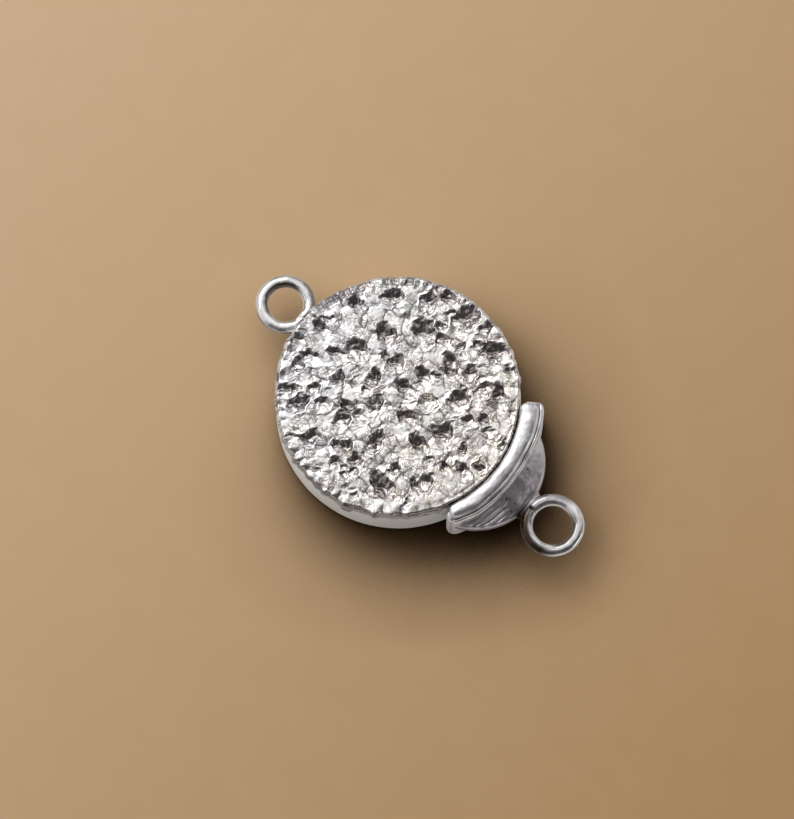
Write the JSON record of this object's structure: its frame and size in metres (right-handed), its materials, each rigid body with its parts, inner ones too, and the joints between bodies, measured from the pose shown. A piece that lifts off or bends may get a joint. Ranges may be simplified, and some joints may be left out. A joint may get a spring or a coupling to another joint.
{
  "type": "round box clasp",
  "caption": "Round box clasp with a pitted face, a soldered ring on the box and a push-in catch with a curved end cap, a half-moon shoulder and its own ring",
  "frame": {"origin": "centre of the box's flat back", "axes": "+X from the ring on the box to the ring on the catch, +Z out of the pitted face"},
  "size_m": [0.0252, 0.015, 0.004],
  "materials": {
    "case_silver": "polished silver",
    "ring_silver": "polished silver wire",
    "face_silver": "bright pitted silver",
    "catch_silver": "polished silver",
    "tongue_silver": "satin rolled silver strip"
  },
  "bodies": {
    "box": {"back": "case_silver", "side_wall": "case_silver", "box_ring": "ring_silver", "face_plate": "face_silver"},
    "catch": {"catch_cap": "catch_silver", "tongue": "tongue_silver"}
  },
  "joints": [
    {"name": "catch_slide", "type": "slide", "parent": "box", "child": "catch", "axis": [1, 0, 0], "range_m": [0, 0.012]}
  ]
}
